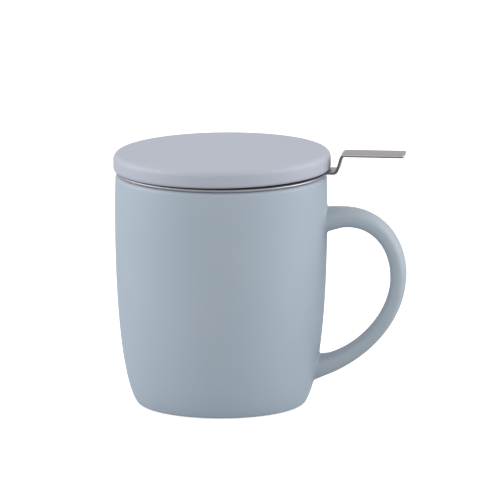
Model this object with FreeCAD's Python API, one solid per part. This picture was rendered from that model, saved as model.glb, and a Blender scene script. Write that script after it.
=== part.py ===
import FreeCAD, Part
import math
import os

# A lidded tea mug with a loose infuser, in millimetres. Z is up, the origin is in the middle of
# the face that the mug stands on, and the handle and the infuser's strap point along +X.
# The lid and the infuser are loose and lift straight off.

# Mug body: a bowl turned about Z, whose flank is one curve from the foot up to the belly
mug_height = 95.2
belly_radius = 43.5
belly_drop = 15.2
rim_inset = 0.2
foot_inset = 8.5
foot_edge_round = 1.94
flank_foot_angle = 60.0
flank_foot_pull = 16.9
flank_belly_pull = 11.4
wall = 4.0
lip_round = 1.8
floor_height = 6.0
floor_corner_height = 14.5
foot_ring_width = 4.2
foot_recess = 1.5

# Mug handle: a full oval section swept round a loop in the XZ plane, thicker towards its two roots
handle_span = 29.4
handle_reach_height = 54.0
handle_upper_drop = 18.4
handle_upper_root_angle = 17.4
handle_upper_root_pull = 17.8
handle_upper_reach_pull = 16.4
handle_lower_root = 15.2
handle_lower_root_angle = 14.2
handle_lower_root_pull = 19.0
handle_lower_reach_pull = 17.3
handle_thickness = 6.4
handle_width = 12.5
handle_fullness = 0.72
handle_root_thickness = 9.2
handle_root_width = 14.5
handle_upper_taper = 16.0
handle_lower_taper = 9.0
handle_root_round = 1.8

# Infuser rim: a pressed flange with a hemmed edge that lies on the mug's lip, and a neck
steel_sheet = 0.6
flange_inset = 0.3
hem_width = 2.6
neck_play = 1.2
neck_bend = 1.2
neck_depth = 14.0

# Infuser basket: a tapered wall with a lap seam inside the neck, and a pan over its lower end
basket_sheet = 0.5
basket_depth = 68.9
basket_taper = 6.0
wall_overlap = 5.0
seam_width = 3.0
pan_edge_height = 5.0
pan_corner = 0.8

# The slits of the basket: upright in rows round the wall, and radial in rings on the pan
slit_width = 0.9
wall_slit_length = 6.6
wall_slit_gap = 2.2
wall_slit_pitch = 4.4
wall_slit_margin = 2.4
pan_slit_length = 6.0
pan_slit_gap = 2.6
pan_slit_pitch = 5.4
pan_first_ring = 4.0

# Infuser strap: a strip that starts inside the neck, crosses the flange and ends in a raised grip
strap_thickness = 1.0
strap_width = 12.0
strap_step_gap = 2.9
strap_step_run = 2.1
strap_grip_height = 7.4
strap_grip_length = 25.5
strap_bend = 1.2
strap_corner = 0.9

# Lid: a rounded disc with a ring under it that drops into the neck
lid_overhang = 1.2
lid_thickness = 7.4
lid_top_round = 2.0
lid_edge_round = 1.3
lid_ring_depth = 4.5
lid_ring_width = 3.0
lid_ring_round = 0.9
lid_recess = 1.5
lid_offset = 0.4

# Clearances: under a loose piece, between welded sheets, round the lid's ring and under the tab
rest_gap = 0.1
weld_gap = 0.02
lid_play = 1.4
tab_gap = 1.0

# Heights and radii that follow from the sizes above
lip_height = mug_height - lip_round
belly_height = mug_height - belly_drop
rim_radius = belly_radius - rim_inset
foot_radius = belly_radius - foot_inset
handle_reach = belly_radius + handle_span
handle_upper_root = mug_height - handle_upper_drop
hem_thickness = 2 * steel_sheet
flange_radius = rim_radius - flange_inset
flange_top = mug_height + rest_gap + hem_thickness
neck_outer = rim_radius - wall - neck_play
neck_inner = neck_outer - steel_sheet
neck_foot = flange_top - neck_depth
bend_centre_r = neck_outer + neck_bend
bend_centre_z = flange_top - steel_sheet - neck_bend
wall_top = neck_foot + wall_overlap
wall_top_radius = neck_inner - weld_gap
basket_foot_radius = wall_top_radius - basket_taper
basket_foot = flange_top - basket_depth
pan_top = basket_foot + pan_edge_height
strap_foot = flange_top + weld_gap
strap_top = strap_foot + strap_thickness
lid_radius = rim_radius + lid_overhang
strap_step_start = lid_offset + lid_radius + strap_step_gap
strap_grip_start = strap_step_start + strap_step_run
strap_reach = strap_grip_start + strap_grip_length

# The lid lies on the flange at -X and on the strap at +X, so it is tilted a little
lid_low_seat = flange_radius - hem_thickness / 2
lid_high_seat = math.sqrt(bend_centre_r ** 2 - (strap_width / 2) ** 2)
lid_tilt = math.atan((strap_top - flange_top) / (lid_low_seat + lid_high_seat))
lid_seat = flange_top + rest_gap + lid_low_seat * math.tan(lid_tilt)
lid_ring_radius = neck_inner - weld_gap - strap_thickness - lid_offset - lid_play

ORIGIN = FreeCAD.Vector(0, 0, 0)
Y_AXIS = FreeCAD.Vector(0, 1, 0)
Z_AXIS = FreeCAD.Vector(0, 0, 1)
SAME_POINT = 1e-7
SAME_SURFACE = 1e-3
FULL_TURN = 360
HANDLE_STEPS = 5


def at(x, z):
    """A point in the XZ plane, where every outline is drawn."""
    return FreeCAD.Vector(x, 0, z)


def polar(centre, radius, degrees):
    """The point of a circle in the XZ plane, with the angle measured from +X towards +Z."""
    angle = math.radians(degrees)
    return centre + at(radius * math.cos(angle), radius * math.sin(angle))


def line(start, end):
    return Part.LineSegment(start, end)


def arc(centre, radius, from_degrees, to_degrees):
    middle = polar(centre, radius, (from_degrees + to_degrees) / 2)
    return Part.Arc(polar(centre, radius, from_degrees), middle, polar(centre, radius, to_degrees))


def curve(poles):
    bezier = Part.BezierCurve()
    bezier.setPoles(poles)
    return bezier


def backwards(pieces):
    """The same curves walked the other way."""
    flipped = [piece.copy() for piece in reversed(pieces)]
    for piece in flipped:
        piece.reverse()
    return flipped


def closed(pieces):
    """A closed wire from curves given in order, with straight lines across the gaps between them."""
    edges = []
    for piece, following in zip(pieces, pieces[1:] + pieces[:1]):
        edges.append(piece.toShape())
        if piece.EndPoint.distanceToPoint(following.StartPoint) > SAME_POINT:
            edges.append(line(piece.EndPoint, following.StartPoint).toShape())
    return Part.Wire(edges)


def turned(pieces):
    """A solid turned about Z from the outline of its half section."""
    return Part.Face(closed(pieces)).revolve(ORIGIN, Z_AXIS, FULL_TURN)


def flank():
    """The outer flank of the bowl, from the edge of the foot up to the belly."""
    angle = math.radians(flank_foot_angle)
    start = at(foot_radius, foot_edge_round * (1 - math.cos(angle)))
    return curve([
        start,
        polar(start, flank_foot_pull, flank_foot_angle),
        at(belly_radius, belly_height - flank_belly_pull),
        at(belly_radius, belly_height),
    ])


def parameter_at_height(bezier, height):
    """Where a rising curve reaches a height, by halving."""
    low, high = 0.0, 1.0
    while high - low > SAME_POINT:
        middle = (low + high) / 2
        if bezier.value(middle).z < height:
            low = middle
        else:
            high = middle
    return low


def upper_arc(belly, lip):
    """The gentle arc from the belly, where the wall is upright, in to the lip."""
    rise = lip_height - belly_height
    radius = (rise ** 2 + (belly - lip) ** 2) / (2 * (belly - lip))
    return arc(at(belly - radius, belly_height), radius, 0, math.degrees(math.asin(rise / radius)))


def outer_section():
    """The outline of the bowl's outside, from the foot ring up to the top of the lip."""
    edge_r = foot_radius - foot_edge_round * math.sin(math.radians(flank_foot_angle))
    return [
        arc(at(edge_r, foot_edge_round), foot_edge_round, -90, flank_foot_angle - 90),
        flank(),
        upper_arc(belly_radius, rim_radius),
        arc(at(rim_radius - lip_round, lip_height), lip_round, 0, 90),
    ]


def inner_section():
    """The outline of the bowl's inside, a wall's thickness in, from the floor up to the lip."""
    inner = flank()
    inner.segment(parameter_at_height(inner, floor_corner_height), 1)
    poles = inner.getPoles()
    along = (poles[1] - poles[0]).normalize()
    slope = math.degrees(math.atan2(along.z, along.x))
    inward = [at(-along.z, along.x) * wall] * 2 + [at(-wall, 0)] * 2
    inner_poles = [pole + shift for pole, shift in zip(poles, inward)]
    corner_round = (inner_poles[0].z - floor_height) / (1 - math.cos(math.radians(slope)))
    corner_centre = polar(inner_poles[0], corner_round, slope + 90)
    return [
        line(at(0, floor_height), at(corner_centre.x, floor_height)),
        arc(corner_centre, corner_round, -90, slope - 90),
        curve(inner_poles),
        upper_arc(belly_radius - wall, rim_radius - wall),
        arc(at(rim_radius - wall + lip_round, lip_height), lip_round, 180, 90),
    ]


def mug_body():
    outer = outer_section()
    recess_r = outer[0].StartPoint.x - foot_ring_width - foot_recess
    recess = [
        line(at(0, foot_recess), at(recess_r, foot_recess)),
        arc(at(recess_r, 0), foot_recess, 90, 0),
    ]
    return turned(recess + outer + backwards(inner_section()))


def filled_bowl():
    """The bowl without its hollow, which the handle's roots are cut to, with its seam at -X."""
    bowl = turned([line(at(0, mug_height), at(0, 0))] + outer_section())
    bowl.rotate(ORIGIN, Z_AXIS, FULL_TURN / 2)
    return bowl


def handle_spines():
    """The middle line of the handle: a curve from each root out to the furthest point."""
    reach = at(handle_reach, handle_reach_height)
    upper_root = at(belly_radius, handle_upper_root)
    bowl_side = flank()
    lower_root_x = bowl_side.value(parameter_at_height(bowl_side, handle_lower_root)).x
    lower_root = at(lower_root_x, handle_lower_root)
    upper = curve([
        upper_root,
        polar(upper_root, handle_upper_root_pull, handle_upper_root_angle),
        reach + at(0, handle_upper_reach_pull),
        reach,
    ])
    lower = curve([
        lower_root,
        polar(lower_root, handle_lower_root_pull, handle_lower_root_angle),
        reach - at(0, handle_lower_reach_pull),
        reach,
    ])
    return upper, lower


def handle_section(centre, along, distance, taper):
    """The section at a distance from its root, square to the middle line, in four equal quarters."""
    flare = math.exp(-distance / taper)
    thickness = handle_thickness + (handle_root_thickness - handle_thickness) * flare
    width = handle_width + (handle_root_width - handle_width) * flare
    side = Y_AXIS * (width / 2)
    crown = at(-along.z, along.x) * (thickness / 2)
    quarters = []
    for start, end in ((side, crown), (crown, -side), (-side, -crown), (-crown, side)):
        poles = [start, start + end * handle_fullness, end + start * handle_fullness, end]
        quarters.append(curve([centre + pole for pole in poles]).toShape())
    return Part.Wire(quarters)


def handle_arm(spine, taper, forwards):
    """The sections along one curve of the handle, from inside the bowl to the furthest point."""
    sections = []
    for step in range(HANDLE_STEPS + 1):
        distance = spine.length() * step / HANDLE_STEPS
        place = spine.parameterAtDistance(distance, 0.0) if step else 0.0
        along = spine.tangent(place)[0] * forwards
        sections.append(handle_section(spine.value(place), along, distance, taper))
    return [sections[0].translated(spine.tangent(0.0)[0] * -wall)] + sections


def lies_on(edge, solid):
    """Whether an edge runs in the surface of a solid, judged by the middle of the edge."""
    middle = edge.valueAt((edge.FirstParameter + edge.LastParameter) / 2)
    return Part.Vertex(middle).distToShape(solid.Shells[0])[0] < SAME_SURFACE


def mug_handle():
    upper, lower = handle_spines()
    upper_arm = handle_arm(upper, handle_upper_taper, 1)
    lower_arm = handle_arm(lower, handle_lower_taper, -1)
    loop = Part.makeLoft(upper_arm + lower_arm[-2::-1], True)
    bowl = filled_bowl()
    joined = bowl.fuse(loop)
    creases = [edge for edge in joined.Edges if lies_on(edge, bowl) and lies_on(edge, loop)]
    return joined.makeFillet(handle_root_round, creases).cut(bowl).Solids[0]


def infuser_rim():
    hem_centre = at(flange_radius - hem_thickness / 2, flange_top - hem_thickness / 2)
    hem_inner = flange_radius - hem_width
    bend_centre = at(bend_centre_r, bend_centre_z)
    return turned([
        line(at(neck_inner, neck_foot), at(neck_inner, bend_centre_z)),
        arc(bend_centre, neck_bend + steel_sheet, 180, 90),
        arc(hem_centre, hem_thickness / 2, 90, -90),
        line(at(hem_inner, flange_top - hem_thickness), at(hem_inner, flange_top - steel_sheet)),
        arc(bend_centre, neck_bend, 90, 180),
        line(at(neck_outer, bend_centre_z), at(neck_outer, neck_foot)),
    ])


def basket_outline(inset):
    """The outer face of the basket's wall moved in by an inset, from the bottom to the top."""
    foot_r = basket_foot_radius - inset
    top_r = wall_top_radius - inset
    return [
        line(at(foot_r, basket_foot + basket_sheet + pan_corner), at(foot_r, pan_top)),
        line(at(foot_r, pan_top), at(top_r, neck_foot)),
        line(at(top_r, neck_foot), at(top_r, wall_top)),
    ]


def basket_radius(height):
    """The outer radius of the basket's tapered wall at a height."""
    share = (height - pan_top) / (neck_foot - pan_top)
    return basket_foot_radius + (wall_top_radius - basket_foot_radius) * share


def slit_cutter(near, far, foot, height, degrees):
    """A cutter for one slit, from a near to a far radius, turned to its place about Z."""
    cutter = Part.makeBox(far - near, slit_width, height, FreeCAD.Vector(near, -slit_width / 2, foot))
    cutter.rotate(ORIGIN, Z_AXIS, degrees)
    return cutter


def infuser_wall():
    shell = turned(basket_outline(0) + backwards(basket_outline(basket_sheet)))
    lap = turned(basket_outline(basket_sheet) + backwards(basket_outline(2 * basket_sheet)))
    seam = Part.makeBox(flange_radius, seam_width, flange_top, FreeCAD.Vector(-flange_radius, -seam_width / 2, 0))
    sheet = shell.fuse(lap.common(seam))

    low = pan_top + wall_slit_margin
    rows = int((neck_foot - wall_slit_margin - low + wall_slit_gap) / (wall_slit_length + wall_slit_gap))
    count = int(2 * math.pi * basket_foot_radius / wall_slit_pitch)
    cutters = []
    for row in range(rows):
        foot = low + row * (wall_slit_length + wall_slit_gap)
        near = basket_radius(foot) - 3 * basket_sheet
        far = basket_radius(foot + wall_slit_length) + basket_sheet
        for step in range(count):
            degrees = FULL_TURN * (step + 0.5 * (row % 2)) / count
            from_seam = math.radians(abs(degrees - FULL_TURN / 2)) * near
            if from_seam > seam_width / 2 + slit_width:
                cutters.append(slit_cutter(near, far, foot, wall_slit_length, degrees))
    return sheet.cut(cutters).Solids[0]


def infuser_base():
    inner = basket_foot_radius + weld_gap
    corner = at(inner - pan_corner, basket_foot + basket_sheet + pan_corner)
    pan = turned([
        line(at(0, basket_foot), at(corner.x, basket_foot)),
        arc(corner, pan_corner + basket_sheet, -90, 0),
        line(at(inner + basket_sheet, pan_top), at(inner, pan_top)),
        arc(corner, pan_corner, 0, -90),
        line(at(corner.x, basket_foot + basket_sheet), at(0, basket_foot + basket_sheet)),
    ])
    cutters = []
    near = pan_first_ring
    while near + pan_slit_length < corner.x:
        count = int(2 * math.pi * (near + pan_slit_length / 2) / pan_slit_pitch)
        for step in range(count):
            degrees = FULL_TURN * step / count
            cutters.append(slit_cutter(near, near + pan_slit_length, basket_foot, basket_sheet, degrees))
        near += pan_slit_length + pan_slit_gap
    return pan.cut(cutters).Solids[0]


def strap_tab():
    """The end of the strap that is bent down inside the neck, curved as the neck is."""
    bend_centre = at(bend_centre_r, bend_centre_z)
    under_bend = neck_bend + steel_sheet + weld_gap
    over_bend = under_bend + strap_thickness
    tab_foot = wall_top + tab_gap
    band = turned([
        line(at(bend_centre_r - over_bend, tab_foot), at(bend_centre_r - over_bend, bend_centre_z)),
        arc(bend_centre, over_bend, 180, 90),
        line(at(flange_radius, strap_top), at(flange_radius, strap_foot)),
        arc(bend_centre, under_bend, 90, 180),
        line(at(bend_centre_r - under_bend, bend_centre_z), at(bend_centre_r - under_bend, tab_foot)),
    ])
    strip = Part.makeBox(flange_radius, strap_width, strap_top, FreeCAD.Vector(0, -strap_width / 2, 0))
    return band.common(strip)


def strap_path():
    """The middle line of the strap beyond the bend: over the flange, up the step and along the grip."""
    level = strap_foot + strap_thickness / 2
    grip_level = level + strap_grip_height
    slope = math.degrees(math.atan2(strap_grip_height, strap_grip_start - strap_step_start))
    radius = strap_bend + strap_thickness / 2
    trim = radius * math.tan(math.radians(slope / 2))
    step_centre = at(strap_step_start - trim, level + radius)
    crest_centre = at(strap_grip_start + trim, grip_level - radius)
    step_arc = arc(step_centre, radius, -90, slope - 90)
    crest_arc = arc(crest_centre, radius, slope + 90, 90)
    return Part.Wire([
        line(at(bend_centre_r, level), step_arc.StartPoint).toShape(),
        step_arc.toShape(),
        line(step_arc.EndPoint, crest_arc.StartPoint).toShape(),
        crest_arc.toShape(),
        line(crest_arc.EndPoint, at(strap_reach, grip_level)).toShape(),
    ])


def infuser_strap():
    start = FreeCAD.Vector(bend_centre_r, -strap_width / 2, strap_foot)
    across = Y_AXIS * strap_width
    up = Z_AXIS * strap_thickness
    end_face = Part.makePolygon([start, start + across, start + across + up, start + up, start])
    strip = strap_path().makePipeShell([end_face], True, False)
    tips = [edge for edge in strip.Edges if is_strap_tip(edge)]
    return strip.makeFillet(strap_corner, tips).fuse(strap_tab()).removeSplitter().Solids[0]


def is_strap_tip(edge):
    """Whether an edge is one of the two short upright ones at the free end of the strap."""
    points = [vertex.Point for vertex in edge.Vertexes]
    at_end = all(abs(point.x - strap_reach) < SAME_POINT for point in points)
    return at_end and abs(points[0].y - points[-1].y) < SAME_POINT


def mug_lid():
    side = lid_radius
    ring_inner = lid_ring_radius - lid_ring_width
    ring_level = lid_ring_round - lid_ring_depth
    lid = turned([
        line(at(0, lid_recess), at(ring_inner, lid_recess)),
        arc(at(ring_inner + lid_ring_round, ring_level), lid_ring_round, 180, 270),
        arc(at(lid_ring_radius - lid_ring_round, ring_level), lid_ring_round, 270, 360),
        line(at(lid_ring_radius, 0), at(side - lid_edge_round, 0)),
        arc(at(side - lid_edge_round, lid_edge_round), lid_edge_round, -90, 0),
        arc(at(side - lid_top_round, lid_thickness - lid_top_round), lid_top_round, 0, 90),
        line(at(side - lid_top_round, lid_thickness), at(0, lid_thickness)),
    ])
    lid.rotate(ORIGIN, Y_AXIS, -math.degrees(lid_tilt))
    lid.translate(at(lid_offset, lid_seat))
    return lid


NODES = {
    "mug_body": mug_body,
    "mug_handle": mug_handle,
    "infuser_rim": infuser_rim,
    "infuser_wall": infuser_wall,
    "infuser_base": infuser_base,
    "infuser_strap": infuser_strap,
    "mug_lid": mug_lid,
}


def main():
    os.makedirs("parts", exist_ok=True)
    for name, make in NODES.items():
        shape = make()
        shape.exportStep(f"parts/{name}.step")
        print(name, shape.ShapeType, "valid" if shape.isValid() else "NOT VALID", f"{shape.Volume:.0f} mm3")


main()
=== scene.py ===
"""A lidded tea mug with a loose infuser, dressed for a studio picture.

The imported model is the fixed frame. Every piece made here stands for one of its nodes, in metres, with Z up
and the handle and the infuser's strap towards +X.
"""

import logging
import math
from dataclasses import dataclass, field
from enum import Enum
from typing import Iterable, Sequence

import bmesh
import bpy
from bmesh.types import BMEdge, BMesh, BMFace, BMVert
from bpy.types import ID, Material, Mesh, Node, NodeSocket, NodeTree, Object
from mathutils import Matrix, Vector
from mathutils.bvhtree import BVHTree


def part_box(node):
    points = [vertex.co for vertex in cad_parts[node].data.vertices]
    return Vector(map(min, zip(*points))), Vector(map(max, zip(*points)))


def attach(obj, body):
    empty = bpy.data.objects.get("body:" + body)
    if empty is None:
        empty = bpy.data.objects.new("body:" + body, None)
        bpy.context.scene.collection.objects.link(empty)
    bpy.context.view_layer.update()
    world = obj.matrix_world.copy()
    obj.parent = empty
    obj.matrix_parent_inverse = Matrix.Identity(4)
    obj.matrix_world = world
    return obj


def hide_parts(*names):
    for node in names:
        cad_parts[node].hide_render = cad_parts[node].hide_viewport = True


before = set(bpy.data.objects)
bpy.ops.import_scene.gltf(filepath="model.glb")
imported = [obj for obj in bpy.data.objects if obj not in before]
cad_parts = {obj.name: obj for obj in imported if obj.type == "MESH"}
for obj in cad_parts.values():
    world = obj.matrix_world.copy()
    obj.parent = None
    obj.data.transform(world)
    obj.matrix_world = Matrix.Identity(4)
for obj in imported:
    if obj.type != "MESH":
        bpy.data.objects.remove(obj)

MM = 0.001
FULL_TURN = 2 * math.pi
QUARTER_TURN = FULL_TURN / 4
Y_AXIS = Vector((0, 1, 0))
Z_AXIS = Vector((0, 0, 1))

# Points that are closer together than this, in metres, are one point.
SMALL = 1e-6

# Two faces that turn by more than this from each other meet in a sharp edge.
SHARP_DEGREES = 40

Colour = tuple[float, float, float, float]
Groups = dict[str, NodeTree]
WHITE: Colour = (1.0, 1.0, 1.0, 1.0)

log = logging.getLogger("tea_mug")


class Slot(Enum):
    """The record's material slots."""

    STONEWARE = "blue_stoneware"
    SATIN_STEEL = "satin_steel"
    BASKET_STEEL = "basket_steel"


class Grain(Enum):
    """Which way the brushing of a steel sheet runs."""

    ALONG_X = "along_x"
    ROUND_Z = "round_z"


def at(x: float, z: float) -> Vector:
    """A point in the XZ plane, where every outline is drawn."""
    return Vector((x, 0, z))


def polar(centre: Vector, radius: float, degrees: float) -> Vector:
    """A point of a circle in the XZ plane, at an angle from +X towards +Z."""
    angle = math.radians(degrees)
    return centre + at(radius * math.cos(angle), radius * math.sin(angle))


def arc(centre: Vector, radius: float, start: float, end: float, steps: int = 8) -> list[Vector]:
    """Evenly spaced points of an arc in the XZ plane, between two angles in degrees, both ends included."""
    return [polar(centre, radius, start + (end - start) * step / steps) for step in range(steps + 1)]


@dataclass(frozen=True)
class Bezier:
    """A cubic curve in the XZ plane with four poles."""

    poles: tuple[Vector, Vector, Vector, Vector]

    def point(self, t: float) -> Vector:
        """A point of the curve.

        Args:
            t: Where on the curve, from 0 to 1.

        Returns:
            The point.
        """
        a, b, c, d = self.poles
        s = 1 - t
        return a * s**3 + b * (3 * s * s * t) + c * (3 * s * t * t) + d * t**3

    def along(self, t: float) -> Vector:
        """The direction of travel at a point of the curve.

        Args:
            t: Where on the curve, from 0 to 1.

        Returns:
            The direction, one unit long.
        """
        a, b, c, d = self.poles
        s = 1 - t
        return ((b - a) * (s * s) + (c - b) * (2 * s * t) + (d - c) * (t * t)).normalized()

    def points(self, steps: int) -> list[Vector]:
        """Points at even steps of t, both ends included."""
        return [self.point(step / steps) for step in range(steps + 1)]

    def at_height(self, height: float) -> float:
        """Where a rising curve reaches a height, by halving.

        Args:
            height: The height.

        Returns:
            Where on the curve, from 0 to 1.
        """
        low, high = 0.0, 1.0
        while high - low > SMALL:
            middle = (low + high) / 2
            if self.point(middle).z < height:
                low = middle
            else:
                high = middle
        return low

    def end_part(self, t: float) -> "Bezier":
        """The stretch of the curve from a point to its end.

        Args:
            t: Where the stretch starts, from 0 to 1.

        Returns:
            The stretch, as a curve of its own.
        """
        a, b, c, d = self.poles
        ab, bc, cd = a.lerp(b, t), b.lerp(c, t), c.lerp(d, t)
        abc, bcd = ab.lerp(bc, t), bc.lerp(cd, t)
        return Bezier((abc.lerp(bcd, t), bcd, cd, d))


def unique(items: Iterable) -> list:
    """The items without repeats, in their order."""
    return list(dict.fromkeys(items))


def only(kind: type, items: Iterable) -> list:
    """The items of one kind, in their order."""
    return [item for item in items if isinstance(item, kind)]


def place_key(vert: BMVert) -> tuple[int, ...]:
    """A point's place in whole numbers, alike for points that coincide."""
    return tuple(round(part / SMALL) for part in vert.co)


def tidy(bm: BMesh) -> None:
    """Merges what coincides and points the faces of a closed mesh outwards."""
    bmesh.ops.remove_doubles(bm, verts=bm.verts, dist=SMALL)
    bmesh.ops.recalc_face_normals(bm, faces=bm.faces)


def face_down(bm: BMesh) -> None:
    """Points the faces of an open sheet down on the whole, so that thicken grows it upwards.

    Args:
        bm: The sheet.
    """
    bmesh.ops.recalc_face_normals(bm, faces=bm.faces)
    if sum(face.normal.z * face.calc_area() for face in bm.faces) > 0:
        bmesh.ops.reverse_faces(bm, faces=bm.faces)


def thicken(bm: BMesh, thickness: float) -> None:
    """Gives a sheet its thickness, grown to the side that its faces look away from."""
    bmesh.ops.solidify(bm, geom=list(bm.faces), thickness=thickness)
    bmesh.ops.recalc_face_normals(bm, faces=bm.faces)


def lathe(outline: Sequence[Vector], steps: int, closed: bool) -> BMesh:
    """Turns an outline about Z.

    Args:
        outline: The half section, in order.
        steps: How many facets a full turn has.
        closed: Whether the last point joins the first, as on a ring.

    Returns:
        A closed mesh whose faces point outwards.
    """
    bm = bmesh.new()
    verts = [bm.verts.new(point) for point in outline]
    pairs = list(zip(verts, verts[1:]))
    if closed:
        pairs.append((verts[-1], verts[0]))
    edges = [bm.edges.new(pair) for pair in pairs]
    bmesh.ops.spin(
        bm, geom=verts + edges, cent=Vector(), axis=Z_AXIS, angle=FULL_TURN, steps=steps, use_merge=True
    )
    tidy(bm)
    return bm


def new_mesh(bm: BMesh, name: str) -> Mesh:
    """Makes mesh data of a bmesh.

    Args:
        bm: The bmesh, freed here.
        name: The name of the data.

    Returns:
        The data.
    """
    mesh = bpy.data.meshes.new(name)
    bm.to_mesh(mesh)
    bm.free()
    return mesh


def show(name: str, data: ID) -> Object:
    """Adds an object to the scene, at the origin.

    Args:
        name: The object's name.
        data: Its mesh, camera or light.

    Returns:
        The object.
    """
    thing = bpy.data.objects.new(name, data)
    bpy.context.scene.collection.objects.link(thing)
    return thing


def add_piece(bm: BMesh, name: str, body: str, node: str, material: Material) -> Object:
    """Makes a finished piece of a mesh, in the place of its CAD node.

    Args:
        bm: The mesh, freed here.
        name: The piece's name.
        body: The CAD body that it rides on.
        node: The CAD node that it stands for.
        material: Its finish.

    Returns:
        The object.
    """
    mesh = new_mesh(bm, name)
    mesh.polygons.foreach_set("use_smooth", [True] * len(mesh.polygons))
    mesh.set_sharp_from_angle(angle=math.radians(SHARP_DEGREES))
    mesh.materials.append(material)
    piece = show(name, mesh)
    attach(piece, body)
    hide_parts(node)
    return piece


class Shader:
    """A node tree that grows by one node at a time."""

    # A Mix node has sockets for every kind of data, and these are the places of its share and its colours.
    MIX_INPUTS = (0, 6, 7)
    MIX_RESULT = 2

    def __init__(self, tree: NodeTree) -> None:
        """Empties the tree of a material, world or node group, to start afresh."""
        self.tree = tree
        tree.nodes.clear()

    def add(self, kind: str, inputs: dict[str | int, object] | None = None, **settings: object) -> Node:
        """Adds a node.

        Args:
            kind: The node's type, without the words ShaderNode.
            inputs: Values or sockets for its inputs, by name or by place.
            **settings: Its properties, which are set first.

        Returns:
            The node.
        """
        prefix = "" if kind.startswith("NodeGroup") else "ShaderNode"
        node = self.tree.nodes.new(prefix + kind)
        for key, value in settings.items():
            setattr(node, key, value)
        for key, value in (inputs or {}).items():
            if isinstance(value, NodeSocket):
                self.tree.links.new(value, node.inputs[key])
            else:
                node.inputs[key].default_value = value
        return node

    def math(self, operation: str, *values: object, clamp: bool = False) -> NodeSocket:
        """The result of a Math node on two or three values or sockets."""
        return self.add("Math", dict(enumerate(values)), operation=operation, use_clamp=clamp).outputs[0]

    def ramp(self, value: object, low: object, high: object, to_low: object, to_high: object) -> NodeSocket:
        """A value moved smoothly from one range to another, and held at its ends."""
        inputs = {"Value": value, "From Min": low, "From Max": high, "To Min": to_low, "To Max": to_high}
        return self.add("MapRange", inputs, interpolation_type="SMOOTHSTEP").outputs["Result"]

    def mix(self, share: object, first: object, second: object) -> NodeSocket:
        """Two colours mixed by a share."""
        inputs = dict(zip(self.MIX_INPUTS, (share, first, second)))
        return self.add("Mix", inputs, data_type="RGBA").outputs[self.MIX_RESULT]

    def noise(self, vector: object, scale: float, detail: float = 2.0, **inputs: object) -> NodeSocket:
        """The value of a noise texture, about 0.5 in the middle.

        Args:
            vector: Where it is read.
            scale: How many cells it has in one unit of the vector.
            detail: How many finer layers it has.
            **inputs: Its other inputs. One named W gives it a fourth dimension.

        Returns:
            The value.
        """
        values = {"Vector": vector, "Scale": scale, "Detail": detail} | inputs
        dimensions = "4D" if "W" in inputs else "3D"
        return self.add("TexNoise", values, noise_dimensions=dimensions).outputs[0]

    def place(self) -> NodeSocket:
        """Object coordinates, in metres."""
        return self.add("TexCoord").outputs["Object"]


def new_material(name: str) -> tuple[Material, Shader]:
    """Starts a material.

    Args:
        name: The material's name.

    Returns:
        The material and its empty tree.
    """
    material = bpy.data.materials.new(name)
    material.use_nodes = True
    return material, Shader(material.node_tree)


def new_group(name: str, inputs: dict[str, object]) -> tuple[Shader, dict[str, NodeSocket]]:
    """Starts a node group that puts out a colour, a roughness and a height for a bump.

    Args:
        name: The group's name.
        inputs: Each input's name with its default: a number, a colour, or None for a vector.

    Returns:
        The group's tree, and its input sockets by name.
    """
    kinds = {type(None): "NodeSocketVector", float: "NodeSocketFloat", tuple: "NodeSocketColor"}
    outputs = {"Colour": "NodeSocketColor", "Roughness": "NodeSocketFloat", "Height": "NodeSocketFloat"}
    tree = bpy.data.node_groups.new(name, "ShaderNodeTree")
    shader = Shader(tree)
    for key, value in inputs.items():
        socket = tree.interface.new_socket(name=key, in_out="INPUT", socket_type=kinds[type(value)])
        if value is not None:
            socket.default_value = value
    for key, kind in outputs.items():
        tree.interface.new_socket(name=key, in_out="OUTPUT", socket_type=kind)
    given = shader.add("NodeGroupInput")
    return shader, {socket.name: socket for socket in given.outputs if socket.name}


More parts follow.
